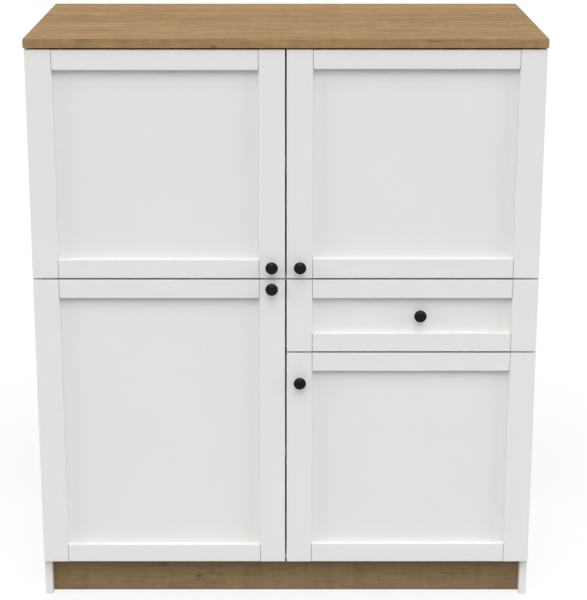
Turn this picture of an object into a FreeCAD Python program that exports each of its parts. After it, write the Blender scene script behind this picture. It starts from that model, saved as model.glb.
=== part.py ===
import FreeCAD, Part
import math
import os

Vec = FreeCAD.Vector

# Sizes are in millimetres. +Z is up and the fronts face -Y. The origin is on the floor, in the
# middle of the width, and half way from the knobs' faces to the back edge.

# Worktop and carcass
CABINET_WIDTH = 1032.0
CABINET_HEIGHT = 1200.0
WORKTOP_DEPTH = 540.0
WORKTOP_THICKNESS = 18.0
WORKTOP_ARRIS = 0.8
BOARD = 15.0              # carcass boards and shelves
PARTITION_OFFSET = 9.5    # partitions' middle, right of the cabinet's middle
PLINTH_HEIGHT = 84.0
PLINTH_SETBACK = 22.0     # behind the side panels' front edges
PLINTH_REAR_INSET = 30.0  # rear plinth rail, in front of the back panels
BACK_THICKNESS = 3.0
BACK_INSET = 10.0         # back panels, in front of the side panels' rear edges
BACK_GROOVE_DEPTH = 7.0
BACK_PLAY = 0.3
STRIP_WIDTH = 24.0        # plastic strip that joins the two back panels
STRIP_WALL = 1.2

# Fronts: four doors and one drawer front, each a frame round a thin panel
FRONT_THICKNESS = 18.0
FRONT_SETBACK = 4.0       # behind the worktop's front edge
FRONT_GAP = 3.5           # between fronts, and up to the worktop
FRONT_SIDE_INSET = 1.75   # from the cabinet's sides
FRONT_FOOT_GAP = 1.5      # above the plinth
UPPER_DOOR_HEIGHT = 466.5
DRAWER_FRONT_HEIGHT = 153.0
STILE_WIDTH = 52.0
NARROW_RAIL = 38.5
WIDE_RAIL = 40.5
RAIL_END_INSET = 0.4      # rails stop this far inside the stiles' ends
FRONT_ARRIS = 0.5
JOINT_GROOVE_WIDTH = 0.8  # shadow line where a rail meets a stile
JOINT_GROOVE_DEPTH = 2.0
PANEL_THICKNESS = 5.0
PANEL_LAP = 8.0           # panel's cover behind its frame
PANEL_PLAY = 0.15

# Knobs
KNOB_DIAMETER = 25.5
KNOB_REACH = 22.0
KNOB_HEAD_THICKNESS = 7.0
KNOB_NECK_DIAMETER = 11.0
KNOB_FROM_INNER_EDGE = 27.0
UPPER_KNOB_LIFT = 25.5    # above the upper doors' lower edges
LEFT_KNOB_DROP = 16.0     # below the lower left door's upper edge
RIGHT_KNOB_DROP = 61.0    # below the lower right door's upper edge
DRAWER_KNOB_OFFSET = 17.0  # right of the drawer front's middle

# Concealed hinges: a cup with a pin in the door, an arm and its plate on the side panel
HINGE_FROM_DOOR_END = 90.0
CUP_DIAMETER = 35.0
CUP_DEPTH = 12.5
CUP_WALL = 0.8
CUP_FROM_EDGE = 3.0
CUP_PLAY = 0.05
FLANGE_THICKNESS = 1.0    # of the cup's flange, on the door's back
FLANGE_HEIGHT = 56.0
FLANGE_RIM = 1.0          # round the cup
PIN_DIAMETER = 2.0
PIN_PLAY = 0.05
PIN_FROM_EDGE = 7.0
PIN_FROM_BACK = 9.6
EYE_WALL = 0.75
LUG_THICKNESS = 1.9       # ears that hold the pin in the cup
LUG_GAP = 0.3
LUG_WALL = 0.6            # steel round the pin
ARM_WIDTH = 10.0
ARM_THICKNESS = 2.5
ARM_REACH = 13.0          # from the pin to the middle of the arm
ARM_NECK = 4.0            # from the carcass front to the wide part of the arm
ARM_LENGTH = 56.0
ARM_CHANNEL_WIDTH = 16.0
ARM_CHANNEL_WALL = 1.4
PLATE_PLAY = 0.3
PLATE_END_INSET = 4.0
PLATE_SCREW_LINE = 37.0   # behind the carcass front
PLATE_WING_HEIGHT = 48.0
PLATE_WING_WIDTH = 14.0
PLATE_WING_THICKNESS = 2.0
SWING_CLEARANCE = 0.72    # between an opening door's rear corner and the side panel

# Shelves
SHELF_SETBACK = 2.0
SHELF_END_PLAY = 1.0
SHELF_PIN_DIAMETER = 5.0  # across its corners
SHELF_PIN_IN = 6.5
SHELF_PIN_OUT = 8.0
SHELF_PIN_PLAY = 0.05
SHELF_PIN_END_GAP = 0.5
SHELF_PIN_INSET = 60.0    # from the shelf's front and rear edges

# Drawer box
DRAWER_BOARD = 12.0
DRAWER_SIDE_HEIGHT = 90.0
DRAWER_LENGTH = 450.0
DRAWER_BOTTOM = 3.0
DRAWER_BOTTOM_LIFT = 8.0
DRAWER_GROOVE_DEPTH = 5.0
DRAWER_GROOVE_PLAY = 0.1

# Drawer runners with rollers
RUNNER_SPACE = 12.5       # between the cabinet's wall and the drawer's side
RUNNER_LENGTH = 440.0
RUNNER_END_GAP = 2.0      # behind the carcass front
RUNNER_LIFT = 12.0        # above the divider board
RUNNER_STEEL = 1.2
RUNNER_FLANGE = 8.3
RUNNER_SIDE_GAP = 1.3
RUNNER_LIP_GAP = 0.6
DRAWER_SEAT = 2.0         # drawer sides' lower edges, above the runners' lower edges
ROLLER_DIAMETER = 16.0
ROLLER_WIDTH = 6.0
ROLLER_SIDE_GAP = 0.8
ROLLER_GAP = 0.2          # to the flange that it rolls on
ROLLER_INSET = 14.0       # from the runner's end
AXLE_DIAMETER = 4.0       # across its corners
AXLE_PLAY = 0.05

# Places worked out from the sizes
HALF_WIDTH = CABINET_WIDTH / 2
INNER_X = HALF_WIDTH - BOARD
WORKTOP_UNDERSIDE = CABINET_HEIGHT - WORKTOP_THICKNESS
Y_WORKTOP = -(WORKTOP_DEPTH - KNOB_REACH + FRONT_SETBACK) / 2
Y_REAR = Y_WORKTOP + WORKTOP_DEPTH
Y_FRONT = Y_WORKTOP + FRONT_SETBACK
Y_FRONT_BACK = Y_FRONT + FRONT_THICKNESS
PIN_TO_CORNER = math.hypot(PIN_FROM_EDGE, PIN_FROM_BACK)
Y_CARCASS = Y_FRONT_BACK + PIN_TO_CORNER - PIN_FROM_BACK + SWING_CLEARANCE
Y_BACK_PANEL = Y_REAR - BACK_INSET - BACK_THICKNESS
PARTITION_LEFT = PARTITION_OFFSET - BOARD / 2
PARTITION_RIGHT = PARTITION_OFFSET + BOARD / 2

BOTTOM_TOP = PLINTH_HEIGHT + BOARD
DOOR_FOOT = PLINTH_HEIGHT + FRONT_FOOT_GAP
UPPER_DOOR_TOP = WORKTOP_UNDERSIDE - FRONT_GAP
UPPER_DOOR_FOOT = UPPER_DOOR_TOP - UPPER_DOOR_HEIGHT
DRAWER_TOP = UPPER_DOOR_FOOT - FRONT_GAP
DRAWER_FOOT = DRAWER_TOP - DRAWER_FRONT_HEIGHT
RIGHT_DOOR_TOP = DRAWER_FOOT - FRONT_GAP
MID_FOOT = DRAWER_TOP + FRONT_GAP / 2 - BOARD / 2
MID_TOP = MID_FOOT + BOARD
DIVIDER_FOOT = RIGHT_DOOR_TOP + FRONT_GAP / 2
DIVIDER_TOP = DIVIDER_FOOT + BOARD
UPPER_SHELF_FOOT = (MID_TOP + WORKTOP_UNDERSIDE - BOARD) / 2
LOWER_SHELF_FOOT = (BOTTOM_TOP + DIVIDER_FOOT - BOARD) / 2

DOOR_EDGE_X = HALF_WIDTH - FRONT_SIDE_INSET
PIN_X = DOOR_EDGE_X - PIN_FROM_EDGE
PIN_Y = Y_FRONT_BACK - PIN_FROM_BACK
CUP_X = DOOR_EDGE_X - CUP_FROM_EDGE - CUP_DIAMETER / 2
ARM_X = PIN_X - ARM_REACH

RUNNER_FOOT = DIVIDER_TOP + RUNNER_LIFT
ROLLER_RADIUS = ROLLER_DIAMETER / 2
FRONT_ROLLER_Z = RUNNER_FOOT + RUNNER_STEEL + 2 * ROLLER_GAP + ROLLER_RADIUS
REAR_ROLLER_Z = RUNNER_FOOT + RUNNER_STEEL + ROLLER_GAP + ROLLER_RADIUS
DRAWER_FLANGE = FRONT_ROLLER_Z + ROLLER_RADIUS + ROLLER_GAP
FRONT_ROLLER_Y = Y_CARCASS + RUNNER_END_GAP + ROLLER_INSET
REAR_ROLLER_Y = Y_FRONT_BACK + RUNNER_END_GAP + RUNNER_LENGTH - ROLLER_INSET
DRAWER_SIDE_FOOT = RUNNER_FOOT + DRAWER_SEAT
DRAWER_LEFT = PARTITION_RIGHT + RUNNER_SPACE
DRAWER_RIGHT = INNER_X - RUNNER_SPACE
DRAWER_REAR = Y_FRONT_BACK + DRAWER_LENGTH
BAY_MIDDLE = (PARTITION_RIGHT + INNER_X) / 2

PEG_SIDES = 8             # shelf pins, roller axles and small bores have flat sides
CORNER_TO_FLAT = math.cos(math.pi / PEG_SIDES)
CUT_OVER = 1.0            # cutting tools run this far past the face that they open
SAME_PLACE = 1e-6


def block(x0, x1, y0, y1, z0, z1):
    """A box between two corners."""
    return Part.makeBox(x1 - x0, y1 - y0, z1 - z0, Vec(x0, y0, z0))


def rod(radius, start, axis, length):
    """A round bar from a point, along an axis."""
    return Part.makeCylinder(radius, length, start, axis)


def peg(radius, start, axis, length):
    """A flat-sided bar with its corners on a circle, and a flat towards +Z or +X."""
    out = Vec(0, 0, 1) if abs(axis.x) > 0 else Vec(1, 0, 0)
    aside = axis.cross(out)
    corners = []
    for i in range(PEG_SIDES):
        angle = (i + 0.5) * math.tau / PEG_SIDES
        corners.append(start + out * (radius * math.cos(angle)) + aside * (radius * math.sin(angle)))
    return Part.Face(Part.makePolygon(corners + corners[:1])).extrude(axis * length)


def across(shape, x=0.0):
    """The shape's mirror image on the other side of the upright plane at x."""
    return shape.mirror(Vec(x, 0, 0), Vec(1, 0, 0))


def ease(solid, y, size):
    """Break the edges round the solid's face at y."""
    edges = [e for e in solid.Edges if all(abs(v.Y - y) < SAME_PLACE for v in e.Vertexes)]
    return solid.makeChamfer(size, edges)


def worktop():
    """The top board, with its upper edges and its corners broken."""
    top = block(-HALF_WIDTH, HALF_WIDTH, Y_WORKTOP, Y_REAR, WORKTOP_UNDERSIDE, CABINET_HEIGHT)
    rim = [e for e in top.Edges if max(v.Z for v in e.Vertexes) > CABINET_HEIGHT - SAME_PLACE]
    return top.makeChamfer(WORKTOP_ARRIS, rim)


def shelf_bays():
    """Each adjustable shelf's name, the two walls beside it and the height of its underside."""
    left_bay = (-INNER_X, PARTITION_LEFT)
    right_bay = (PARTITION_RIGHT, INNER_X)
    return [
        ("upper_left_shelf", left_bay, UPPER_SHELF_FOOT),
        ("upper_right_shelf", right_bay, UPPER_SHELF_FOOT),
        ("lower_left_shelf", left_bay, LOWER_SHELF_FOOT),
        ("lower_right_shelf", right_bay, LOWER_SHELF_FOOT),
    ]


def shelf(bay, foot):
    left, right = bay
    y0, y1 = Y_CARCASS + SHELF_SETBACK, Y_BACK_PANEL - SHELF_SETBACK
    return block(left + SHELF_END_PLAY, right - SHELF_END_PLAY, y0, y1, foot, foot + BOARD)


def shelf_pin_places():
    """The wall, the way into the bay, and the y and z of every shelf pin's axis."""
    places = []
    drop = SHELF_PIN_DIAMETER / 2 * CORNER_TO_FLAT
    for _, (left, right), foot in shelf_bays():
        z = foot - drop
        front = Y_CARCASS + SHELF_SETBACK + SHELF_PIN_INSET
        rear = Y_BACK_PANEL - SHELF_SETBACK - SHELF_PIN_INSET
        for y in (front, rear):
            places.append((left, 1, y, z))
            places.append((right, -1, y, z))
    return places


def shelf_pin(wall, way, y, z):
    start = Vec(wall - way * SHELF_PIN_IN, y, z)
    length = SHELF_PIN_IN + SHELF_PIN_OUT
    return peg(SHELF_PIN_DIAMETER / 2, start, Vec(way, 0, 0), length)


def with_pin_holes(board, walls):
    """The board, drilled for the shelf pins that stand in the given walls of it."""
    for wall, way, y, z in shelf_pin_places():
        if wall not in walls:
            continue
        depth = SHELF_PIN_IN + SHELF_PIN_END_GAP
        start = Vec(wall - way * depth, y, z)
        radius = SHELF_PIN_DIAMETER / 2 + SHELF_PIN_PLAY
        hole = peg(radius, start, Vec(way, 0, 0), depth + CUT_OVER)
        if board.BoundBox.ZMin < z < board.BoundBox.ZMax:
            board = board.cut(hole)
    return board


def back_panel(x0, x1):
    y1 = Y_BACK_PANEL + BACK_THICKNESS
    return block(x0, x1, Y_BACK_PANEL, y1, PLINTH_HEIGHT, WORKTOP_UNDERSIDE)


def left_side_panel():
    """A side panel that stands on the floor, with the back panel's groove."""
    panel = block(-HALF_WIDTH, -INNER_X, Y_CARCASS, Y_REAR, 0, WORKTOP_UNDERSIDE)
    groove = block(
        -INNER_X - BACK_GROOVE_DEPTH, -INNER_X + CUT_OVER,
        Y_BACK_PANEL, Y_BACK_PANEL + BACK_THICKNESS + BACK_PLAY,
        PLINTH_HEIGHT, WORKTOP_UNDERSIDE + CUT_OVER,
    )
    return panel.cut(groove)


def carcass():
    """The fixed boards and the shelves."""
    left = left_side_panel()
    pieces = {
        "worktop": worktop(),
        "left_side_panel": with_pin_holes(left, [-INNER_X]),
        "right_side_panel": with_pin_holes(across(left), [INNER_X]),
    }

    def board(x0, x1, z0, z1):
        return block(x0, x1, Y_CARCASS, Y_BACK_PANEL, z0, z1)

    def partition(z0, z1):
        upright = board(PARTITION_LEFT, PARTITION_RIGHT, z0, z1)
        return with_pin_holes(upright, [PARTITION_LEFT, PARTITION_RIGHT])

    pieces["bottom_panel"] = board(-INNER_X, INNER_X, PLINTH_HEIGHT, BOTTOM_TOP)
    pieces["mid_board"] = board(-INNER_X, INNER_X, MID_FOOT, MID_TOP)
    pieces["lower_partition"] = partition(BOTTOM_TOP, MID_FOOT)
    pieces["upper_partition"] = partition(MID_TOP, WORKTOP_UNDERSIDE)
    pieces["drawer_divider"] = board(PARTITION_RIGHT, INNER_X, DIVIDER_FOOT, DIVIDER_TOP)
    for name, bay, foot in shelf_bays():
        pieces[name] = shelf(bay, foot)
    pieces["shelf_pins"] = [shelf_pin(*place) for place in shelf_pin_places()]
    return pieces


def plinth():
    """The plinth boards that carry the bottom panel between the side panels."""
    y0 = Y_CARCASS + PLINTH_SETBACK
    y1 = Y_BACK_PANEL - PLINTH_REAR_INSET
    rail = (0, PLINTH_HEIGHT)
    return {
        "plinth_front": block(-INNER_X, INNER_X, y0, y0 + BOARD, *rail),
        "plinth_rear": block(-INNER_X, INNER_X, y1 - BOARD, y1, *rail),
        "plinth_support": block(PARTITION_LEFT, PARTITION_RIGHT, y0 + BOARD, y1 - BOARD, *rail),
    }


def back():
    """Two thin panels, held in the side panels' grooves and joined by a T-shaped strip."""
    edge = INNER_X + BACK_GROOVE_DEPTH - BACK_PLAY
    web = STRIP_WALL / 2
    y1 = Y_BACK_PANEL + BACK_THICKNESS
    height = (PLINTH_HEIGHT, WORKTOP_UNDERSIDE)
    x0, x1 = PARTITION_OFFSET - STRIP_WIDTH / 2, PARTITION_OFFSET + STRIP_WIDTH / 2
    strip = block(x0, x1, y1, y1 + STRIP_WALL, *height)
    strip = strip.fuse(block(PARTITION_OFFSET - web, PARTITION_OFFSET + web, Y_BACK_PANEL, y1, *height))
    return {
        "left_back_panel": back_panel(-edge, PARTITION_OFFSET - web - BACK_PLAY),
        "right_back_panel": back_panel(PARTITION_OFFSET + web + BACK_PLAY, edge),
        "back_joint_strip": strip.removeSplitter(),
    }


def framed_front(x0, x1, z0, z1, top_rail, bottom_rail):
    """Left and right stile, bottom and top rail, and the thin panel in their rebate."""
    left, right = x0 + STILE_WIDTH, x1 - STILE_WIDTH
    low, high = z0 + bottom_rail, z1 - top_rail
    y_panel = Y_FRONT_BACK - PANEL_THICKNESS

    def panel_space(play, over):
        lap = PANEL_LAP - play
        return block(left - lap, right + lap, y_panel, Y_FRONT_BACK + over, low - lap, high + lap)

    def member(xa, xb, za, zb):
        bar = ease(block(xa, xb, Y_FRONT, Y_FRONT_BACK, za, zb), Y_FRONT, FRONT_ARRIS)
        return bar.cut(panel_space(0, CUT_OVER))

    def rail(za, zb):
        y0, y1 = Y_FRONT - CUT_OVER, Y_FRONT + JOINT_GROOVE_DEPTH
        grooves = [
            block(left - CUT_OVER, left + JOINT_GROOVE_WIDTH, y0, y1, z0, z1),
            block(right - JOINT_GROOVE_WIDTH, right + CUT_OVER, y0, y1, z0, z1),
        ]
        return member(left, right, za, zb).cut(grooves)

    stiles = [member(x0, left, z0, z1), member(right, x1, z0, z1)]
    rails = [rail(z0 + RAIL_END_INSET, low), rail(high, z1 - RAIL_END_INSET)]
    return stiles, rails, panel_space(PANEL_PLAY, 0)


def knob(x, y, z):
    """A turned knob, whose neck stands on the face at y."""
    neck, head = KNOB_NECK_DIAMETER / 2, KNOB_DIAMETER / 2
    head_back = KNOB_REACH - KNOB_HEAD_THICKNESS
    outline = [(0, 0), (neck, 0), (neck, head_back), (head, head_back), (head, KNOB_REACH), (0, KNOB_REACH)]
    points = [Vec(x + radius, y - reach, z) for radius, reach in outline]
    face = Part.Face(Part.makePolygon(points + points[:1]))
    return face.revolve(Vec(x, y, z), Vec(0, 1, 0), 360)


def cup_bore(z):
    """The blind bore for a right-hand door's hinge cup."""
    depth = CUP_DEPTH + CUP_PLAY
    start = Vec(CUP_X, Y_FRONT_BACK - depth, z)
    return rod(CUP_DIAMETER / 2 + CUP_PLAY, start, Vec(0, 1, 0), depth + CUT_OVER)


def hinge_cup(z):
    """A right-hand door's hinge cup with its flange and two lugs, and the pin in the lugs."""
    along = Vec(0, 1, 0)
    radius = CUP_DIAMETER / 2
    floor = Y_FRONT_BACK - CUP_DEPTH
    rim = radius + FLANGE_RIM
    half = FLANGE_HEIGHT / 2
    cup = rod(radius, Vec(CUP_X, floor, z), along, CUP_DEPTH)
    flange = block(
        CUP_X - rim, CUP_X + rim, Y_FRONT_BACK, Y_FRONT_BACK + FLANGE_THICKNESS, z - half, z + half)
    hollow_depth = CUP_DEPTH - CUP_WALL + FLANGE_THICKNESS + CUT_OVER
    hollow = rod(radius - CUP_WALL, Vec(CUP_X, floor + CUP_WALL, z), along, hollow_depth)
    lug_foot = ARM_WIDTH / 2 + LUG_GAP
    half_pin = lug_foot + LUG_THICKNESS
    reach = PIN_DIAMETER / 2 + LUG_WALL
    upright = block(PIN_X - reach, PIN_X + reach, floor, PIN_Y + reach, z - half_pin, z + half_pin)
    room = block(PIN_X - rim, PIN_X + rim, floor, PIN_Y + rim, z - lug_foot, z + lug_foot)
    cup = cup.fuse(flange).cut(hollow).fuse(upright.cut(room)).removeSplitter()
    pin_foot = Vec(PIN_X, PIN_Y, z - half_pin)
    pin = rod(PIN_DIAMETER / 2, pin_foot, Vec(0, 0, 1), 2 * half_pin)
    bore = peg(PIN_DIAMETER / 2 / CORNER_TO_FLAT, pin_foot, Vec(0, 0, 1), 2 * half_pin)
    return [cup.cut(bore), pin]


def hinge_arm(z):
    """A right-hand hinge's arm: an eye on the pin, a hook out of the cup and a channel."""
    half, thick = ARM_WIDTH / 2, ARM_THICKNESS / 2
    x_in, x_out = ARM_X - thick, ARM_X + thick
    y_wide = Y_CARCASS + ARM_NECK
    y_end = y_wide + ARM_LENGTH
    eye_foot = Vec(PIN_X, PIN_Y, z - half)
    bore_flat = PIN_DIAMETER / 2 + PIN_PLAY
    eye = peg((bore_flat + EYE_WALL) / CORNER_TO_FLAT, eye_foot, Vec(0, 0, 1), ARM_WIDTH)
    bore = peg(bore_flat / CORNER_TO_FLAT, eye_foot, Vec(0, 0, 1), ARM_WIDTH)
    hook = block(x_in, PIN_X, PIN_Y - thick, PIN_Y + thick, z - half, z + half)
    neck = block(x_in, x_out, PIN_Y - thick, y_wide, z - half, z + half)
    wide = ARM_CHANNEL_WIDTH / 2
    web = block(x_in, x_out, y_wide, y_end, z - wide, z + wide)
    x_edge = INNER_X - PLATE_WING_THICKNESS - PLATE_PLAY
    inner = wide - ARM_CHANNEL_WALL
    upper = block(x_out, x_edge, y_wide, y_end, z + inner, z + wide)
    lower = block(x_out, x_edge, y_wide, y_end, z - wide, z - inner)
    return eye.fuse([hook, neck, web, upper, lower]).removeSplitter().cut(bore)


def hinge_plate(z):
    """A right-hand hinge's mounting plate: a rib inside the arm's channel, and two screw wings."""
    half = ARM_CHANNEL_WIDTH / 2 - ARM_CHANNEL_WALL - PLATE_PLAY
    y0 = Y_CARCASS + ARM_NECK + PLATE_END_INSET
    y1 = Y_CARCASS + ARM_NECK + ARM_LENGTH - PLATE_END_INSET
    rib = block(ARM_X + ARM_THICKNESS / 2, INNER_X, y0, y1, z - half, z + half)
    y_mid = Y_CARCASS + PLATE_SCREW_LINE
    tall, wide = PLATE_WING_HEIGHT / 2, PLATE_WING_WIDTH / 2
    wings = block(INNER_X - PLATE_WING_THICKNESS, INNER_X, y_mid - wide, y_mid + wide, z - tall, z + tall)
    return rib.fuse(wings).removeSplitter()


def hung_doors():
    """Each door's name, side, foot, top, rails and the height of its knob."""
    return [
        ("upper_left_door", -1, UPPER_DOOR_FOOT, UPPER_DOOR_TOP, WIDE_RAIL, NARROW_RAIL,
         UPPER_DOOR_FOOT + UPPER_KNOB_LIFT),
        ("upper_right_door", 1, UPPER_DOOR_FOOT, UPPER_DOOR_TOP, NARROW_RAIL, WIDE_RAIL,
         UPPER_DOOR_FOOT + UPPER_KNOB_LIFT),
        ("lower_left_door", -1, DOOR_FOOT, DRAWER_TOP, NARROW_RAIL, NARROW_RAIL,
         DRAWER_TOP - LEFT_KNOB_DROP),
        ("lower_right_door", 1, DOOR_FOOT, RIGHT_DOOR_TOP, NARROW_RAIL, WIDE_RAIL,
         RIGHT_DOOR_TOP - RIGHT_KNOB_DROP),
    ]


def doors():
    """Every door, made as a right-hand one, and the arms and plates of its two hinges."""
    pieces = {"hinge_arms": [], "hinge_plates": []}
    knob_x = FRONT_GAP / 2 + KNOB_FROM_INNER_EDGE
    for name, side, foot, top, top_rail, bottom_rail, knob_z in hung_doors():
        hinge_heights = (foot + HINGE_FROM_DOOR_END, top - HINGE_FROM_DOOR_END)
        stiles, rails, panel = framed_front(FRONT_GAP / 2, DOOR_EDGE_X, foot, top, top_rail, bottom_rail)
        stiles[1] = stiles[1].cut([cup_bore(z) for z in hinge_heights])
        made = {
            name + "_stiles": stiles,
            name + "_rails": rails,
            name + "_panel": [panel],
            name + "_knob": [knob(knob_x, Y_FRONT, knob_z)],
            name + "_hinge_cups": [solid for z in hinge_heights for solid in hinge_cup(z)],
            "hinge_arms": [hinge_arm(z) for z in hinge_heights],
            "hinge_plates": [hinge_plate(z) for z in hinge_heights],
        }
        for node, solids in made.items():
            sided = [across(s) for s in solids] if side < 0 else solids
            pieces.setdefault(node, []).extend(sided)
    return pieces


def drawer():
    """The drawer's framed front, and the box behind it."""
    stiles, rails, panel = framed_front(
        FRONT_GAP / 2, DOOR_EDGE_X, DRAWER_FOOT, DRAWER_TOP, NARROW_RAIL, NARROW_RAIL)
    knob_place = (
        (FRONT_GAP / 2 + DOOR_EDGE_X) / 2 + DRAWER_KNOB_OFFSET,
        Y_FRONT_BACK - PANEL_THICKNESS,
        (DRAWER_FOOT + DRAWER_TOP) / 2,
    )

    low, high = DRAWER_SIDE_FOOT, DRAWER_SIDE_FOOT + DRAWER_SIDE_HEIGHT
    left, right = DRAWER_LEFT + DRAWER_BOARD, DRAWER_RIGHT - DRAWER_BOARD
    y_inner = Y_FRONT_BACK + DRAWER_BOARD
    floor = low + DRAWER_BOTTOM_LIFT

    def bottom(play):
        grip = DRAWER_GROOVE_DEPTH + play - DRAWER_GROOVE_PLAY
        top = floor + DRAWER_BOTTOM
        return block(left - grip, right + grip, y_inner - grip, DRAWER_REAR, floor - play, top)

    groove = bottom(DRAWER_GROOVE_PLAY)
    inner_front = block(DRAWER_LEFT, DRAWER_RIGHT, Y_FRONT_BACK, y_inner, low, high)
    left_side = block(DRAWER_LEFT, left, y_inner, DRAWER_REAR, low, high)
    right_side = block(right, DRAWER_RIGHT, y_inner, DRAWER_REAR, low, high)
    rear = block(left, right, DRAWER_REAR - DRAWER_BOARD, DRAWER_REAR, floor + DRAWER_BOTTOM, high)
    return {
        "drawer_front_stiles": stiles,
        "drawer_front_rails": rails,
        "drawer_front_panel": panel,
        "drawer_knob": knob(*knob_place),
        "drawer_inner_front": inner_front.cut(groove),
        "drawer_left_side": left_side.cut(groove),
        "drawer_right_side": right_side.cut(groove),
        "drawer_back": rear,
        "drawer_bottom": bottom(0),
    }


def axle(x, way, y, z):
    """A roller's axle, standing on a runner's wall at x."""
    length = 2 * ROLLER_SIDE_GAP + ROLLER_WIDTH
    return peg(AXLE_DIAMETER / 2, Vec(x, y, z), Vec(way, 0, 0), length)


def roller(x, way, y, z):
    """A roller on the axle that stands on a runner's wall at x."""
    direction = Vec(way, 0, 0)
    start = Vec(x + way * ROLLER_SIDE_GAP, y, z)
    wheel = rod(ROLLER_RADIUS, start, direction, ROLLER_WIDTH)
    bore_flat = AXLE_DIAMETER / 2 + AXLE_PLAY
    return wheel.cut(peg(bore_flat / CORNER_TO_FLAT, start, direction, ROLLER_WIDTH))


def runners():
    """The left runner's two steel members and its rollers, each with its mirror image."""
    wall = PARTITION_RIGHT
    web = wall + RUNNER_STEEL
    y0 = Y_CARCASS + RUNNER_END_GAP
    y1 = y0 + RUNNER_LENGTH
    lip = DRAWER_FLANGE + RUNNER_STEEL + RUNNER_LIP_GAP
    channel = block(wall, web, y0, y1, RUNNER_FOOT, lip + RUNNER_STEEL).fuse([
        block(wall, web + RUNNER_FLANGE, y0, y1, RUNNER_FOOT, RUNNER_FOOT + RUNNER_STEEL),
        block(wall, web + RUNNER_FLANGE, y0, y1, lip, lip + RUNNER_STEEL),
        axle(web, 1, FRONT_ROLLER_Y, FRONT_ROLLER_Z),
    ])

    drawer_web = DRAWER_LEFT - RUNNER_STEEL
    ya = Y_FRONT_BACK + RUNNER_END_GAP
    yb = ya + RUNNER_LENGTH
    seat = DRAWER_SIDE_FOOT - RUNNER_STEEL
    flange_top = DRAWER_FLANGE + RUNNER_STEEL
    angle = block(drawer_web, DRAWER_LEFT, ya, yb, seat, flange_top).fuse([
        block(drawer_web, DRAWER_LEFT + DRAWER_BOARD, ya, yb, seat, DRAWER_SIDE_FOOT),
        block(web + RUNNER_SIDE_GAP, DRAWER_LEFT, ya, yb, DRAWER_FLANGE, flange_top),
        axle(drawer_web, -1, REAR_ROLLER_Y, REAR_ROLLER_Z),
    ])
    left = {
        "cabinet_runners": channel.removeSplitter(),
        "drawer_runners": angle.removeSplitter(),
        "front_rollers": roller(web, 1, FRONT_ROLLER_Y, FRONT_ROLLER_Z),
        "rear_rollers": roller(drawer_web, -1, REAR_ROLLER_Y, REAR_ROLLER_Z),
    }
    return {name: [shape, across(shape, BAY_MIDDLE)] for name, shape in left.items()}


def export(pieces):
    """Write one file for each named piece, or for each group of like pieces."""
    os.makedirs("parts", exist_ok=True)
    for name, made in pieces.items():
        shapes = made if isinstance(made, list) else [made]
        solids = [solid for shape in shapes for solid in shape.Solids]
        shape = solids[0] if len(solids) == 1 else Part.makeCompound(solids)
        shape.exportStep("parts/" + name + ".step")
        print(name, len(solids), "valid" if shape.isValid() else "NOT VALID", round(shape.Volume))


def main():
    for group in (carcass(), plinth(), back(), doors(), drawer(), runners()):
        export(group)


main()
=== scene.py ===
import math

import bmesh
import bpy
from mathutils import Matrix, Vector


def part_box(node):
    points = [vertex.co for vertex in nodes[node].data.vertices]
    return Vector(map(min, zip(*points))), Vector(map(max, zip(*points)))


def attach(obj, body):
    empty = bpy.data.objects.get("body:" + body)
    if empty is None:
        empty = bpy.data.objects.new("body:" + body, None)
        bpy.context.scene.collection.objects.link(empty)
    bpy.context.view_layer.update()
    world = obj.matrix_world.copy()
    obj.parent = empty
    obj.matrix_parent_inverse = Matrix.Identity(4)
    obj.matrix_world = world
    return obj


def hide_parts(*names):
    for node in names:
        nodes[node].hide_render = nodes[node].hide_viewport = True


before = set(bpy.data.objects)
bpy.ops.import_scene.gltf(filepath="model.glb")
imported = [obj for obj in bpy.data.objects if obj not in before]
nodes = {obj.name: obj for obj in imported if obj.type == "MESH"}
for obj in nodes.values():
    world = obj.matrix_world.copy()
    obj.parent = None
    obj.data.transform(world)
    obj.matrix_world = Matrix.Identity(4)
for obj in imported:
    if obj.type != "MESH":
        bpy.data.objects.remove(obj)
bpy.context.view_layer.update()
mm = 0.001
doors = ["upper_left_door", "upper_right_door", "lower_left_door", "lower_right_door"]
print("cabinet frame loaded:", len(nodes), "nodes")


# a node's output that takes part in Python arithmetic
class Socket:
    def __init__(self, graph, output):
        self.graph = graph
        self.output = output

    def pick(self, name):  # another output of the same node
        return Socket(self.graph, self.output.node.outputs[name])

    def __add__(self, other):
        return self.graph.calc("ADD", self, other)

    def __radd__(self, other):
        return self.graph.calc("ADD", other, self)

    def __sub__(self, other):
        return self.graph.calc("SUBTRACT", self, other)

    def __rsub__(self, other):
        return self.graph.calc("SUBTRACT", other, self)

    def __mul__(self, other):
        return self.graph.calc("MULTIPLY", self, other)

    def __rmul__(self, other):
        return self.graph.calc("MULTIPLY", other, self)

    def __truediv__(self, other):
        return self.graph.calc("DIVIDE", self, other)

    def __abs__(self):
        return self.graph.calc("ABSOLUTE", self)


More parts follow.
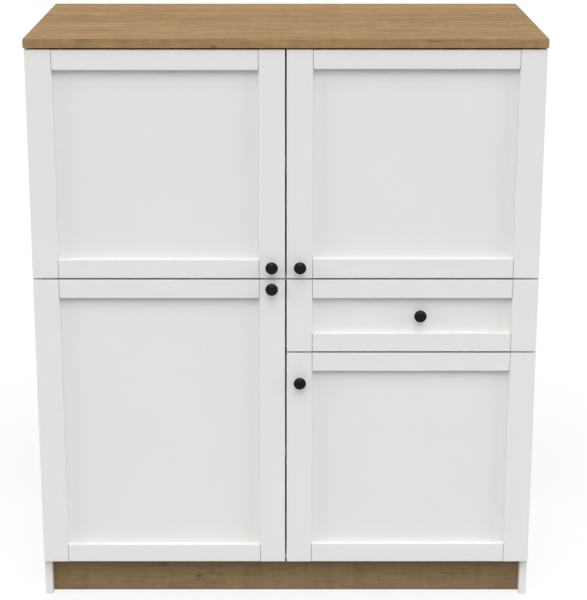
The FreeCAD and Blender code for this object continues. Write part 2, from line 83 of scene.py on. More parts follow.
class Graph:
    def __init__(self, tree):
        self.tree = tree
        tree.nodes.clear()

    def add(self, kind, settings=None, sockets=None, out=0):
        node = self.tree.nodes.new(kind)
        for name, value in (settings or {}).items():
            if name == "stops":
                self.setStops(node.color_ramp.elements, value)
            else:
                setattr(node, name, value)
        for name, value in (sockets or {}).items():
            for one in value if isinstance(value, list) else [value]:
                if isinstance(one, Socket):
                    self.tree.links.new(one.output, node.inputs[name])
                else:
                    node.inputs[name].default_value = one
        return Socket(self, node.outputs[out]) if node.outputs else None

    def setStops(self, elements, stops):
        while len(elements) < len(stops):
            elements.new(1.0)
        for element, (place, colour) in zip(elements, stops):
            element.position = place
            element.color = colour

    def calc(self, operation, *values):
        return self.add("ShaderNodeMath", {"operation": operation}, dict(enumerate(values)))

    def fade(self, value, start, end):  # 0 before start, 1 after end, smooth between
        return self.add(
            "ShaderNodeMapRange", {"interpolation_type": "SMOOTHSTEP"},
            {"Value": value, "From Min": start, "From Max": end})

    def place(self):  # where on the object, in metres
        return self.add("ShaderNodeTexCoord", out="Object")

    def split(self, vector):
        parts = self.add("ShaderNodeSeparateXYZ", {}, {0: vector})
        return parts, parts.pick("Y"), parts.pick("Z")

    def join(self, x, y, z):
        return self.add("ShaderNodeCombineXYZ", {}, {0: x, 1: y, 2: z})

    def noise(self, vector, scale=1.0, detail=2.0, roughness=0.5):
        return self.add(
            "ShaderNodeTexNoise", {},
            {"Vector": vector, "Scale": scale, "Detail": detail, "Roughness": roughness})

    def blend(self, factor, first, second):  # two colours
        return self.add(
            "ShaderNodeMix", {"data_type": "RGBA"}, {0: factor, 6: first, 7: second}, out=2)

    def bump(self, height, strength, distance):
        return self.add(
            "ShaderNodeBump", {}, {"Height": height, "Strength": strength, "Distance": distance})

    def surface(self, sockets):
        shader = self.add("ShaderNodeBsdfPrincipled", {}, sockets)
        self.add("ShaderNodeOutputMaterial", {}, {"Surface": shader})


def srgb(r, g, b):  # 0 to 255, as a colour picker shows them
    def straight(c):
        c = c / 255
        return c / 12.92 if c <= 0.04045 else ((c + 0.055) / 1.055) ** 2.4
    return straight(r), straight(g), straight(b), 1.0


def tinted(colour, tint):  # the tint has a share for red, green and blue
    return tuple(c * t for c, t in zip(colour, tint)) + (1.0,)


finishes = {}


def newFinish(name):
    material = bpy.data.materials.new(name)
    material.use_nodes = True
    finishes[name] = material
    return Graph(material.node_tree)


# In the finishes below, noise is given per metre, gloss is the specular level, and relief is
# the strength and the depth of the bump.

# Oak-effect laminate on the worktop and the plinth. The grain runs along the width, and along
# the depth on the worktop's two ends.
oak = {
    "ramp": {"dark": 0.15, "middle": 0.5, "light": 0.85},
    "dark": srgb(124, 100, 68), "middle": srgb(157, 129, 91), "light": srgb(182, 150, 107),
    "knot": srgb(84, 61, 38),
    "plinthPaintedShade": (0.81, 0.86, 0.97),  # painted shade: the plinth's oak is darkened and greyed for the shadow under the doors
    "plinthShift": 0.37,  # and cut from another stretch of it
    "squareOn": 0.7,  # how much of the normal makes a face an end or a front
    "streaks": {  # along the grain, across it, seed and detail
        "slowDrift": (0.8, 5.0, 3.1, 2.0),
        "quickDrift": (3.5, 20.0, 8.4, 2.0),
        "broad": (0.5, 16.0, 25.6, 2.0),
        "flame": (9.0, 42.0, 17.3, 3.0),
        "fleck": (36.0, 105.0, 9.9, 4.0),
        "fibre": (12.0, 420.0, 5.7, 4.0),
        "hair": (50.0, 1500.0, 14.2, 2.0),
        "saw": (62.0, 9.0, 61.7, 3.0),  # faint marks across the grain
        "pore": (55.0, 2300.0, 40.3, 2.0),
        "smudge": (15.0, 65.0, 50.1, 2.0),
    },
    "shares": {  # of each in the tone
        "broad": 0.42, "flame": 0.48, "ring": 0.13, "fleck": 0.42, "fibre": 0.45, "hair": 0.25,
        "saw": 0.17, "frontSaw": 0.13, "frontCalm": 0.65,
    },
    "ringWidth": 34 * mm, "slowBend": 2.6, "quickBend": 0.8, "knotBend": 1.4,
    "knotCell": (150 * mm, 95 * mm), "knotShare": 0.3, "knotEdge": (0.045, 0.012),
    "swirlEdge": (0.25, 0.0), "poreEdge": (0.12, 0.24), "smudgeEdge": (0.16, 0.28),
    "poreInRing": 0.6, "stains": {"knot": 0.6, "pore": 0.4, "smudge": 0.35},
    "roughness": (0.5, 0.64), "gloss": 0.01, "relief": (0.25, 0.15 * mm), "fibreRelief": 0.6,
}


def oakFinish(name, tint, shift):
    g = newFinish(name)
    place = g.place()
    x, y, z = g.split(place)
    facingX, facingY = g.split(place.pick("Normal"))[:2]
    end = g.calc("GREATER_THAN", abs(facingX), oak["squareOn"])
    front = g.calc("GREATER_THAN", abs(facingY), oak["squareOn"])
    along = x + (y - x) * end + shift
    across = z + y * (1 - end)

    def streaks(kind):
        perMetreAlong, perMetreAcross, seed, detail = oak["streaks"][kind]
        spot = g.join(along * perMetreAlong, across * perMetreAcross, seed)
        return g.noise(spot, detail=detail) - 0.5

    cellLong, cellWide = oak["knotCell"]
    cell = g.add(
        "ShaderNodeTexVoronoi", {"voronoi_dimensions": "2D"},
        {"Vector": g.join(along / cellLong, across / cellWide, 0.0), "Scale": 1.0})
    chance = g.split(cell.pick("Color"))[0]
    hasKnot = g.calc("LESS_THAN", chance, oak["knotShare"])
    knot = hasKnot * g.fade(cell, *oak["knotEdge"])
    swirl = hasKnot * g.fade(cell, *oak["swirlEdge"])

    drift = streaks("slowDrift") * oak["slowBend"] + streaks("quickDrift") * oak["quickBend"]
    ringPlace = across / oak["ringWidth"] + drift + swirl * oak["knotBend"]
    ring = g.calc("PINGPONG", ringPlace, 0.5) * 2 - 0.5
    fibre = streaks("fibre")
    share = oak["shares"]
    figure = streaks("broad") * share["broad"] + streaks("flame") * share["flame"]
    figure = (figure + ring * share["ring"]) * (1 - front * share["frontCalm"])
    fine = streaks("fleck") * share["fleck"] + fibre * share["fibre"]
    fine = fine + streaks("hair") * share["hair"]
    saw = streaks("saw") * (share["saw"] + front * share["frontSaw"])
    tone = 0.5 + figure + fine + saw
    wood = g.add(
        "ShaderNodeValToRGB",
        {"stops": [(stop, tinted(oak[shade], tint)) for shade, stop in oak["ramp"].items()]},
        {"Fac": tone})
    pore = g.fade(streaks("pore"), *oak["poreEdge"]) * (1 - ring * oak["poreInRing"])
    smudge = g.fade(streaks("smudge"), *oak["smudgeEdge"])
    stains = oak["stains"]
    marks = pore * stains["pore"] + smudge * stains["smudge"]
    stain = g.calc("MAXIMUM", knot * stains["knot"], marks)
    low, high = oak["roughness"]
    g.surface({
        "Base Color": g.blend(stain, wood, tinted(oak["knot"], tint)),
        "Roughness": low + (high - low) * (1 - tone),
        "Specular IOR Level": oak["gloss"],
        "Normal": g.bump(fibre * oak["fibreRelief"] - pore, *oak["relief"]),
    })


# White foil on the fronts, with a faint pressed grain along each member and painted shade in the
# joint grooves
foil = {
    "colour": srgb(231, 231, 229), "shade": srgb(229, 229, 227), "shadeEdge": (0.3, 0.7),
    "grain": (6.0, 900.0), "grainDetail": 3.0, "grainShare": 0.6,  # along and across
    "cloud": 7.0, "cloudShare": 0.4,
    "roughness": 0.42, "roughSpread": 0.08, "gloss": 0.3, "relief": (0.06, 0.04 * mm),
    "joint": srgb(70, 68, 64),  # painted shade in the groove where a rail meets a stile
    "jointWidth": 0.9 * mm, "jointDepth": 2.1 * mm, "jointEdge": 0.2 * mm,
}


def grooveShadeMask(g, x, y):  # 1 inside the grooves at the rails' ends, where the shade is painted
    corners = [corner for node in nodes if node.endswith("_rails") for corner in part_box(node)]
    face = min(corner.y for corner in corners)
    mask = 0.0
    for end in sorted({round(corner.x, 5) for corner in corners}):
        mask = g.calc("MAXIMUM", mask, g.calc("LESS_THAN", abs(x - end), foil["jointWidth"]))
    below = g.calc("GREATER_THAN", y, face + foil["jointEdge"])
    return mask * below * g.calc("LESS_THAN", y, face + foil["jointDepth"])


def foilFinish(name, lengthwise):
    g = newFinish(name)
    place = g.place()
    x, y, z = g.split(place)
    along, across = (z, x) if lengthwise == "z" else (x, z)
    perAlong, perAcross = foil["grain"]
    spot = g.join(along * perAlong, across * perAcross, y * perAcross)
    grain = g.noise(spot, detail=foil["grainDetail"])
    cloud = g.noise(place, foil["cloud"])
    mix = grain * foil["grainShare"] + cloud * foil["cloudShare"]
    colour = g.blend(g.fade(mix, *foil["shadeEdge"]), foil["shade"], foil["colour"])
    if lengthwise == "x":
        # the joint grooves get painted shade, a dark grey colour
        colour = g.blend(grooveShadeMask(g, x, y), colour, foil["joint"])
    g.surface({
        "Base Color": colour,
        "Roughness": foil["roughness"] + (cloud - 0.5) * foil["roughSpread"],
        "Specular IOR Level": foil["gloss"],
        "Normal": g.bump(grain, *foil["relief"]),
    })


# White melamine on the carcass boards, with a fine pearl pattern
melamine = {
    "colour": srgb(231, 231, 229), "shade": srgb(229, 229, 227), "shadeEdge": (0.3, 0.7),
    "cloud": 5.0, "cloudDetail": 3.0, "pearl": 700.0, "pearlDetail": 1.0,
    "roughness": 0.5, "roughSpread": 0.1, "gloss": 0.3, "relief": (0.15, 0.08 * mm),
}


def boardFinish():
    g = newFinish("whiteBoard")
    place = g.place()
    cloud = g.noise(place, melamine["cloud"], melamine["cloudDetail"])
    pearl = g.noise(place, melamine["pearl"], melamine["pearlDetail"])
    pale = g.fade(cloud, *melamine["shadeEdge"])
    g.surface({
        "Base Color": g.blend(pale, melamine["shade"], melamine["colour"]),
        "Roughness": melamine["roughness"] + (pearl - 0.5) * melamine["roughSpread"],
        "Specular IOR Level": melamine["gloss"],
        "Normal": g.bump(pearl, *melamine["relief"]),
    })


# Thin hardboard, painted white on the side that shows inside and bare brown on the other, where
# the wire screen of the press has left a fine grid
hardboard = {
    "paint": srgb(228, 227, 222), "bare": srgb(152, 119, 84), "fleck": srgb(126, 95, 64),
    "fleckEdge": (0.36, 0.64),
    "fibres": (850.0, 4.0, 0.7), "fibreShare": 0.7,  # scale, detail and roughness of the noise
    "cloud": (14.0, 4.0, 0.6), "cloudShare": 0.3,
    "screen": 1.8 * mm, "screenRelief": 0.3, "fibreRelief": 0.5,
    "roughness": 0.5, "bareRoughness": 0.3, "gloss": 0.25, "relief": (0.2, 0.1 * mm),
}


def hardboardFinish(name, axis, barePlane, bareAbove):
    g = newFinish(name)
    place = g.place()
    x, y, z = g.split(place)
    depth, across = (y, z) if axis == "y" else (z, y)
    bare = g.calc("GREATER_THAN" if bareAbove else "LESS_THAN", depth, barePlane)
    fibres = g.noise(place, *hardboard["fibres"])
    cloud = g.noise(place, *hardboard["cloud"])
    perMesh = math.tau / hardboard["screen"]
    screen = g.calc("SINE", x * perMesh) * g.calc("SINE", across * perMesh)
    mix = fibres * hardboard["fibreShare"] + cloud * hardboard["cloudShare"]
    brown = g.blend(
        g.fade(mix, *hardboard["fleckEdge"]), hardboard["fleck"], hardboard["bare"])
    height = fibres * hardboard["fibreRelief"] + screen * bare * hardboard["screenRelief"]
    g.surface({
        "Base Color": g.blend(bare, hardboard["paint"], brown),
        "Roughness": hardboard["roughness"] + bare * hardboard["bareRoughness"],
        "Specular IOR Level": hardboard["gloss"],
        "Normal": g.bump(height, *hardboard["relief"]),
    })


# Satin black paint on the knobs
knobPaint = {
    "colour": srgb(12, 12, 11), "worn": srgb(18, 18, 16), "peel": 900.0, "cloud": 120.0,
    "roughness": 0.26, "roughSpread": 0.12, "gloss": 0.13, "relief": (0.2, 0.05 * mm),
}


def knobFinish():
    g = newFinish("knobBlack")
    place = g.place()
    peel = g.noise(place, knobPaint["peel"])
    cloud = g.noise(place, knobPaint["cloud"])
    g.surface({
        "Base Color": g.blend(cloud, knobPaint["colour"], knobPaint["worn"]),
        "Roughness": knobPaint["roughness"] + (cloud - 0.5) * knobPaint["roughSpread"],
        "Specular IOR Level": knobPaint["gloss"],
        "Normal": g.bump(peel, *knobPaint["relief"]),
    })


# Plated steel on hinges, pins and screws, with fine rolling marks
plating = {
    "metals": {
        "hingeNickel": (srgb(206, 205, 200), 0.28),
        "pinZinc": (srgb(196, 197, 199), 0.36),
        "screwZinc": (srgb(188, 189, 190), 0.32),
    },
    "marks": (2600.0, 90.0),  # across and along
    "cloud": 60.0, "cloudDetail": 3.0, "dull": (0.82, 0.82, 0.82),
    "roughSpread": 0.16, "relief": (0.08, 0.03 * mm),
}


def platedFinish(name):
    colour, rough = plating["metals"][name]
    g = newFinish(name)
    place = g.place()
    x, y, z = g.split(place)
    perAcross, perAlong = plating["marks"]
    marks = g.noise(g.join(x * perAcross, y * perAlong, z * perAcross))
    cloud = g.noise(place, plating["cloud"], plating["cloudDetail"])
    g.surface({
        "Base Color": g.blend(cloud, tinted(colour, plating["dull"]), colour),
        "Metallic": 1.0,
        "Roughness": rough + (marks - 0.5) * plating["roughSpread"],
        "Normal": g.bump(marks, *plating["relief"]),
    })


# White powder coat on the runners, and plain plastics
coating = {
    "coats": {  # colour, roughness and fineness of the surface
        "runnerWhite": (srgb(226, 226, 222), 0.40, 1100.0),
        "rollerNylon": (srgb(222, 221, 214), 0.48, 500.0),
        "stripPlastic": (srgb(230, 230, 228), 0.45, 300.0),
    },
    "shade": (0.95, 0.95, 0.95), "roughSpread": 0.1, "gloss": 0.4, "relief": (0.15, 0.06 * mm),
}


def coatFinish(name):
    colour, rough, perMetre = coating["coats"][name]
    g = newFinish(name)
    peel = g.noise(g.place(), perMetre)
    g.surface({
        "Base Color": g.blend(peel, tinted(colour, coating["shade"]), colour),
        "Roughness": rough + (peel - 0.5) * coating["roughSpread"],
        "Specular IOR Level": coating["gloss"],
        "Normal": g.bump(peel, *coating["relief"]),
    })


backLow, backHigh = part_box("left_back_panel")
baseLow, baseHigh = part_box("drawer_bottom")
oakFinish("oakEffect", (1.0, 1.0, 1.0), 0.0)
# the plinth's copy of the oak is darkened and greyed: painted shade under the doors
oakFinish("oakPlinthShaded", oak["plinthPaintedShade"], oak["plinthShift"])
foilFinish("foilUpright", "z")
foilFinish("foilLevel", "x")
boardFinish()
hardboardFinish("backBoard", "y", (backLow.y + backHigh.y) / 2, True)
hardboardFinish("drawerBase", "z", (baseLow.z + baseHigh.z) / 2, False)
knobFinish()
for metal in plating["metals"]:
    platedFinish(metal)
for coat in coating["coats"]:
    coatFinish(coat)
print("finishes:", len(finishes))


def finishOf(node):
    endings = {
        "worktop": "oakEffect", "plinth_front": "oakPlinthShaded", "_back_panel": "backBoard",
        "_stiles": "foilUpright", "_rails": "foilLevel", "_door_panel": "foilUpright",
        "_front_panel": "foilUpright", "_knob": "knobBlack", "_hinge_cups": "hingeNickel",
        "hinge_arms": "hingeNickel", "hinge_plates": "hingeNickel", "shelf_pins": "pinZinc",
        "_runners": "runnerWhite", "_rollers": "rollerNylon", "_strip": "stripPlastic",
        "drawer_bottom": "drawerBase",
    }
    for ending, finish in endings.items():
        if node.endswith(ending):
            return finish
    return "whiteBoard"


for name, cadNode in nodes.items():
    for place in cadNode.material_slots:
        place.material = finishes[finishOf(name)]


def addPiece(name, mesh, body, finish=None):
    piece = bpy.data.objects.new(name, mesh)
    bpy.context.scene.collection.objects.link(piece)
    if finish:
        mesh.materials.clear()
        mesh.materials.append(finishes[finish])
    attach(piece, body)
    return piece


# Turned knobs, in millimetres: a flared foot, a slim neck and a domed head with a rounded rim
knobShape = {
    "footRadius": 7.6, "footHeight": 1.8, "neckRadius": 5.2, "headThickness": 7.0,
    "edge": 0.5, "backEdge": 1.4, "rim": 1.6, "crown": 4.0,
    "steps": 8, "segments": 72, "weld": 0.01,
}


def knobOutline(radius, reach):  # radius and height over the front, from the foot to the face
    k = knobShape
    steps = k["steps"]

    def arc(centre, size, start, sweep=90):
        turns = [math.radians(start + sweep * i / steps) for i in range(steps + 1)]
        return [(centre[0] + size * math.cos(t), centre[1] + size * math.sin(t)) for t in turns]

    foot, headBack = k["footRadius"] - k["edge"], reach - k["headThickness"]
    head = radius - k["backEdge"]
    outline = [(0, 0), (k["footRadius"], 0)]
    outline += arc((foot, k["footHeight"] - k["edge"]), k["edge"], 0)
    for i in range(1, 2 * steps):  # the neck narrows and widens again
        share = i / steps - 1
        end = foot if share < 0 else head
        height = k["footHeight"] + (headBack - k["footHeight"]) * i / (2 * steps)
        outline.append((k["neckRadius"] + (end - k["neckRadius"]) * share ** 4, height))
    outline += arc((head, headBack + k["backEdge"]), k["backEdge"], -90)
    slope = math.atan(2 * k["crown"] / (radius - k["rim"] / 2))  # of the dome at the rim
    rimHeight = reach - k["crown"] - k["rim"] * math.cos(slope)
    outline += arc((radius - k["rim"], rimHeight), k["rim"], 0, 90 - math.degrees(slope))
    dome = outline[-1][0]
    for i in range(1, steps + 1):
        share = 1 - i / steps
        outline.append((dome * share, reach - k["crown"] * share ** 2))
    return outline


def turnedKnob(node, body):
    low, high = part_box(node)
    centreX, centreZ = (low.x + high.x) / 2, (low.z + high.z) / 2
    mesh = bpy.data.meshes.new(body + "_turned_knob")
    shape = bmesh.new()
    profile = [
        shape.verts.new((centreX + radius * mm, high.y - height * mm, centreZ))
        for radius, height in knobOutline((high.x - low.x) / 2 / mm, (high.y - low.y) / mm)]
    edges = [shape.edges.new(pair) for pair in zip(profile, profile[1:])]
    bmesh.ops.spin(
        shape, geom=profile + edges, cent=(centreX, 0, centreZ), axis=(0, 1, 0),
        angle=math.tau, steps=knobShape["segments"])
    bmesh.ops.remove_doubles(shape, verts=shape.verts, dist=knobShape["weld"] * mm)
    bmesh.ops.recalc_face_normals(shape, faces=shape.faces)
    shape.to_mesh(mesh)
    shape.free()
    mesh.shade_smooth()
    piece = addPiece(mesh.name, mesh, body, "knobBlack")
    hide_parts(node)


for body in doors + ["drawer"]:
    turnedKnob(body + "_knob", body)
print("knobs turned")


# One tree for every round fastener: a domed head with a cross recess, set on each point
fastener = {
    "sides": 28, "seed": 7,
    "inputs": ["Diameter", "Height", "Crown", "Cross Length", "Cross Width", "Cross Depth"],
    "kinds": {  # the inputs in millimetres, and the crown as a share of the diameter
        "panScrew": (7.0, 1.9, 0.55, 3.6, 0.9, 1.2),
        "flatScrew": (7.6, 1.0, 0.8, 4.0, 1.0, 0.8),
        "adjuster": (6.4, 0.9, 0.9, 4.4, 1.0, 0.8),
        "camDisc": (15.0, 0.5, 0.94, 7.0, 1.6, 0.45),
        "nail": (4.5, 0.5, 0.8, 0.6, 0.6, 0.05),
    },
}


def fastenerTree():
    tree = bpy.data.node_groups.new("roundFastener", "GeometryNodeTree")
    tree.is_modifier = True
    tree.interface.new_socket("Geometry", in_out="INPUT", socket_type="NodeSocketGeometry")
    for name in fastener["inputs"]:
        tree.interface.new_socket(name, in_out="INPUT", socket_type="NodeSocketFloat")
    tree.interface.new_socket("Material", in_out="INPUT", socket_type="NodeSocketMaterial")
    tree.interface.new_socket("Geometry", in_out="OUTPUT", socket_type="NodeSocketGeometry")
    g = Graph(tree)
    given = g.add("NodeGroupInput")
    radius = given.pick("Diameter") / 2
    height = given.pick("Height")
    head = g.add("GeometryNodeMeshCone", {}, {
        "Vertices": fastener["sides"], "Radius Bottom": radius,
        "Radius Top": radius * given.pick("Crown"), "Depth": height})
    barSize = g.join(
        given.pick("Cross Length"), given.pick("Cross Width"), given.pick("Cross Depth") * 2)
    bar = g.add("GeometryNodeMeshCube", {}, {"Size": barSize})
    lift = g.join(0.0, 0.0, height)
    bars = [
        g.add("GeometryNodeTransform", {}, {
            "Geometry": bar, "Translation": lift, "Rotation": (0.0, 0.0, quarter)})
        for quarter in (0.0, math.pi / 2)]
    cut = g.add(
        "GeometryNodeMeshBoolean", {"operation": "DIFFERENCE"}, {"Mesh 1": head, "Mesh 2": bars})
    facing = g.add(
        "GeometryNodeInputNamedAttribute", {"data_type": "FLOAT_VECTOR"}, {"Name": "facing"})
    aim = g.add("FunctionNodeAlignRotationToVector", {"axis": "Z"}, {"Vector": facing})
    spin = g.add(
        "FunctionNodeRandomValue", {"data_type": "FLOAT"},
        {2: 0.0, 3: math.pi, "Seed": fastener["seed"]}, out=1)
    turn = g.add("FunctionNodeEulerToRotation", {}, {0: g.join(0.0, 0.0, spin)})
    turned = g.add(
        "FunctionNodeRotateRotation", {"rotation_space": "LOCAL"},
        {"Rotation": aim, "Rotate By": turn})
    placed = g.add(
        "GeometryNodeInstanceOnPoints", {},
        {"Points": given.pick("Geometry"), "Instance": cut, "Rotation": turned})
    real = g.add("GeometryNodeRealizeInstances", {}, {"Geometry": placed})
    done = g.add(
        "GeometryNodeSetMaterial", {}, {"Geometry": real, "Material": given.pick("Material")})
    g.add("NodeGroupOutput", {}, {"Geometry": done})
    return tree


fastenerNodes = fastenerTree()


def setFasteners(name, kind, places, body):
    mesh = bpy.data.meshes.new(name)
    mesh.from_pydata([spot for spot, facing in places], [], [])
    directions = mesh.attributes.new("facing", "FLOAT_VECTOR", "POINT")
    for item, (spot, facing) in zip(directions.data, places):
        item.vector = facing
    carrier = bpy.data.objects.new(name + "_points", mesh)
    bpy.context.scene.collection.objects.link(carrier)
    modifier = carrier.modifiers.new("fasteners", "NODES")
    modifier.node_group = fastenerNodes
    sizes = dict(zip(fastener["inputs"], fastener["kinds"][kind]))
    for item in fastenerNodes.interface.items_tree:
        if item.in_out == "INPUT" and item.name in sizes:
            unit = 1.0 if item.name == "Crown" else mm
            modifier[item.identifier] = sizes[item.name] * unit
        if item.in_out == "INPUT" and item.name == "Material":
            modifier[item.identifier] = finishes["screwZinc"]
    bpy.context.view_layer.update()
    ready = carrier.evaluated_get(bpy.context.evaluated_depsgraph_get())
    plain = bpy.data.meshes.new_from_object(ready)
    bpy.data.objects.remove(carrier)
    addPiece(name, plain, body)


# Hinge screws: two in each cup's flange, two in each plate's wings and two adjusters on each arm
hinge = {
    "fromDoorEnd": 90 * mm, "flangeScrew": 22.5 * mm, "wingScrew": 16 * mm, "wingLine": 37 * mm,
    "wingThickness": 2 * mm, "armHeight": 8 * mm, "adjusters": (16 * mm, 44 * mm),
}
sideLow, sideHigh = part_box("right_side_panel")
wingPlaces, adjusterPlaces = [], []
for body in doors:
    side = -1 if "left" in body else 1
    low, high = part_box(body + "_stiles")
    cupLow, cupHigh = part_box(body + "_hinge_cups")
    cupX = (cupLow.x + cupHigh.x) / 2
    wingX = side * (sideLow.x - hinge["wingThickness"])
    armX = side * (sideLow.x - hinge["armHeight"])
    flangePlaces = []
    for hingeZ in (low.z + hinge["fromDoorEnd"], high.z - hinge["fromDoorEnd"]):
        for lift in (-1, 1):
            flange = (cupX, cupHigh.y, hingeZ + lift * hinge["flangeScrew"])
            flangePlaces.append((flange, (0, 1, 0)))
            wing = (wingX, sideLow.y + hinge["wingLine"], hingeZ + lift * hinge["wingScrew"])
            wingPlaces.append((wing, (-side, 0, 0)))
        for back in hinge["adjusters"]:
            adjusterPlaces.append(((armX, sideLow.y + back, hingeZ), (-side, 0, 0)))
    setFasteners(body + "_hinge_screws", "flatScrew", flangePlaces, body)
setFasteners("hinge_plate_screws", "flatScrew", wingPlaces, "carcass")
setFasteners("hinge_adjusters", "adjuster", adjusterPlaces, "carcass")
print("hinges screwed on")

# Each knob's bolt, on the back of the door or inside the drawer, and the drawer front's screws
drawerFront = {
    "screwInset": 6 * mm,
    "screwHeights": (0.33, 0.77),  # shares of the inner front's height
}
innerLow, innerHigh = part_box("drawer_inner_front")
for body in doors + ["drawer"]:
    low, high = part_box(body + "_knob")
    rear = innerHigh.y if body == "drawer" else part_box(body + "_stiles")[1].y
    bolt = ((low.x + high.x) / 2, rear, (low.z + high.z) / 2)
    setFasteners(body + "_knob_bolt", "panScrew", [(bolt, (0, 1, 0))], body)
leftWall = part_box("drawer_left_side")[1].x + drawerFront["screwInset"]
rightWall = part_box("drawer_right_side")[0].x - drawerFront["screwInset"]
frontPlaces = []
for share in drawerFront["screwHeights"]:
    z = innerLow.z + (innerHigh.z - innerLow.z) * share
    frontPlaces += [((x, innerHigh.y, z), (0, 1, 0)) for x in (leftWall, rightWall)]
setFasteners("drawer_front_screws", "panScrew", frontPlaces, "drawer")

# Runner screws, through the webs of the cabinet's runners
runner = {"steel": 1.2 * mm, "screwsAlong": (0.1, 0.46, 0.8), "screwHeight": 10 * mm}
runnerLow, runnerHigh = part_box("cabinet_runners")
runnerPlaces = []
for share in runner["screwsAlong"]:
    y = runnerLow.y + (runnerHigh.y - runnerLow.y) * share
    z = runnerLow.z + runner["screwHeight"]
    runnerPlaces.append(((runnerLow.x + runner["steel"], y, z), (1, 0, 0)))
    runnerPlaces.append(((runnerHigh.x - runner["steel"], y, z), (-1, 0, 0)))
setFasteners("runner_screws", "flatScrew", runnerPlaces, "carcass")

# Cam locks that draw the carcass boards together, set in from the boards' ends
camLock = {"fromEnd": 34 * mm, "fromFront": 50 * mm, "fromBack": 60 * mm}
camPlaces = []
midLow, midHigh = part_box("mid_board")
dividerLow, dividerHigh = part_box("drawer_divider")
for y in (midLow.y + camLock["fromFront"], midHigh.y - camLock["fromBack"]):
    for side in (-1, 1):
        camPlaces.append(((side * sideLow.x, y, sideHigh.z - camLock["fromEnd"]), (-side, 0, 0)))
        camPlaces.append(((side * (midHigh.x - camLock["fromEnd"]), y, midLow.z), (0, 0, -1)))
    for x in (dividerLow.x + camLock["fromEnd"], dividerHigh.x - camLock["fromEnd"]):
        camPlaces.append(((x, y, dividerLow.z), (0, 0, -1)))
    for upright in ("lower_partition", "upper_partition"):
        low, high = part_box(upright)
        for z in (low.z + camLock["fromEnd"], high.z - camLock["fromEnd"]):
            camPlaces.append(((high.x, y, z), (1, 0, 0)))
setFasteners("cam_locks", "camDisc", camPlaces, "carcass")

# Nails through the back panels, into the bottom panel and the mid board
backNails = {"rows": ("bottom_panel", "mid_board"), "spacing": 105 * mm, "inset": 45 * mm}
nailPlaces = []
for panel in ("left_back_panel", "right_back_panel"):
    low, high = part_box(panel)
    span = high.x - low.x - 2 * backNails["inset"]
    count = round(span / backNails["spacing"])
    for board in backNails["rows"]:
        boardLow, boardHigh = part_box(board)
        for i in range(count + 1):
            x = low.x + backNails["inset"] + span * i / count
            nailPlaces.append(((x, high.y, (boardLow.z + boardHigh.z) / 2), (0, 1, 0)))
setFasteners("back_nails", "nail", nailPlaces, "carcass")
print("screws, cam locks and nails set")

# A pale floor: what is seen of it is nearly white, with a faint shadow, and what it throws back
# is grey
stage = {
    "size": 40.0, "bounce": (0.48, 0.48, 0.48, 1),
    "shadowed": (0.27, 0.27, 0.27, 1), "glow": (0.7, 0.7, 0.7, 1),
}


def seenRays(g):  # 1 where the camera, a reflection or a view through glass meets the surface
    rays = g.add("ShaderNodeLightPath", out="Is Camera Ray")
    indirect = g.calc("MAXIMUM", rays.pick("Is Glossy Ray"), rays.pick("Is Transmission Ray"))
    return g.calc("MAXIMUM", rays, indirect)


def makeStage():
    mesh = bpy.data.meshes.new("floor")
    half = stage["size"] / 2
    corners = [(-half, -half, 0), (half, -half, 0), (half, half, 0), (-half, half, 0)]
    mesh.from_pydata(corners, [], [(0, 1, 2, 3)])
    floor = bpy.data.objects.new("floor", mesh)
    bpy.context.scene.collection.objects.link(floor)
    g = newFinish("paleFloor")
    seen = seenRays(g)
    g.surface({
        "Base Color": g.blend(seen, stage["bounce"], stage["shadowed"]),
        "Emission Color": g.blend(seen, (0, 0, 0, 1), stage["glow"]), "Emission Strength": 1.0,
        "Roughness": 1.0, "Specular IOR Level": 0.0})
    mesh.materials.append(finishes["paleFloor"])


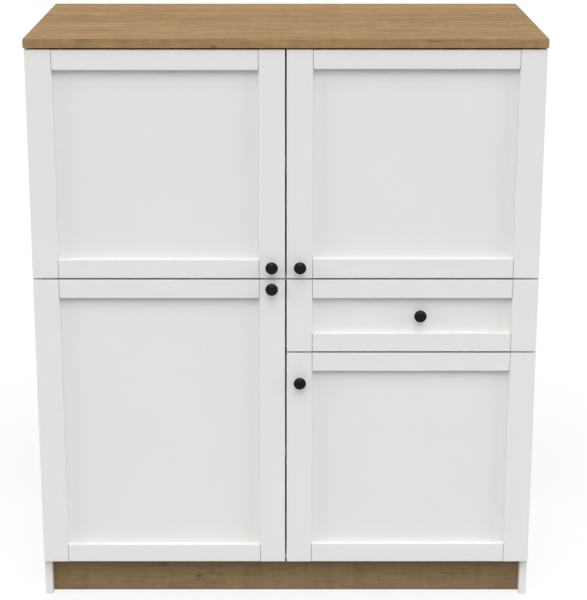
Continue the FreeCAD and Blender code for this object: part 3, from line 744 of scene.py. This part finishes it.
# A broad lamp high in front, a lamp on each side, and a dim room with a glow low behind, so that
# the cabinet's sides and back are lit too
light = {
    "lamps": {  # strength, and turn from the front, height and spread in degrees
        "frontLamp": (2.28, 0.0, 52.0, 53.0),
        "leftLamp": (1.07, -72.0, 19.0, 30.0),
        "rightLamp": (1.07, 72.0, 19.0, 30.0),
    },
    "front": 0.05, "rear": 0.8, "low": 0.8,
    "turn": (-0.05, 0.35), "lowTop": 0.35,  # depth and height of the directions where it changes
}


def makeLight():
    world = bpy.data.worlds.new("paleRoom")
    bpy.context.scene.world = world
    world.use_nodes = True
    g = Graph(world.node_tree)
    direction = g.split(g.add("ShaderNodeTexCoord", out="Generated"))
    behind = g.fade(direction[1], *light["turn"])
    low = g.fade(direction[2], light["lowTop"], 0.0)
    glow = light["front"] + behind * (light["rear"] - light["front"] + light["low"] * low)
    strength = glow + (1 - glow) * seenRays(g)
    back = g.add("ShaderNodeBackground", {}, {"Color": (1, 1, 1, 1), "Strength": strength})
    g.add("ShaderNodeOutputWorld", {}, {"Surface": back})
    for name, (strength, turn, height, spread) in light["lamps"].items():
        lamp = bpy.data.lights.new(name, "SUN")
        lamp.energy = strength
        lamp.angle = math.radians(spread)
        holder = bpy.data.objects.new(name, lamp)
        holder.rotation_euler = (math.radians(90 - height), 0, math.radians(turn))
        bpy.context.scene.collection.objects.link(holder)


# The photograph's view: focal length and principal point in its own pixels
photo = {
    "width": 587, "height": 600, "focal": 1818.65, "middleX": 285.85, "middleY": 287.57,
    "place": (0.0, -3.8138, 1.7210), "pitch": 16.130, "sensor": 36.0,
}


def makeCamera():
    lens = bpy.data.cameras.new("photoView")
    lens.sensor_fit = "VERTICAL"
    lens.sensor_height = photo["sensor"]
    lens.lens = photo["focal"] * photo["sensor"] / photo["height"]
    lens.shift_x = (photo["width"] / 2 - photo["middleX"]) / photo["height"]
    lens.shift_y = (photo["middleY"] - photo["height"] / 2) / photo["height"]
    camera = bpy.data.objects.new("photoView", lens)
    camera.location = photo["place"]
    camera.rotation_euler = (math.radians(90 - photo["pitch"]), 0, 0)
    bpy.context.scene.collection.objects.link(camera)
    bpy.context.scene.camera = camera


makeStage()
makeLight()
makeCamera()
bpy.context.scene.view_settings.view_transform = "Standard"
print("floor, light and camera ready")
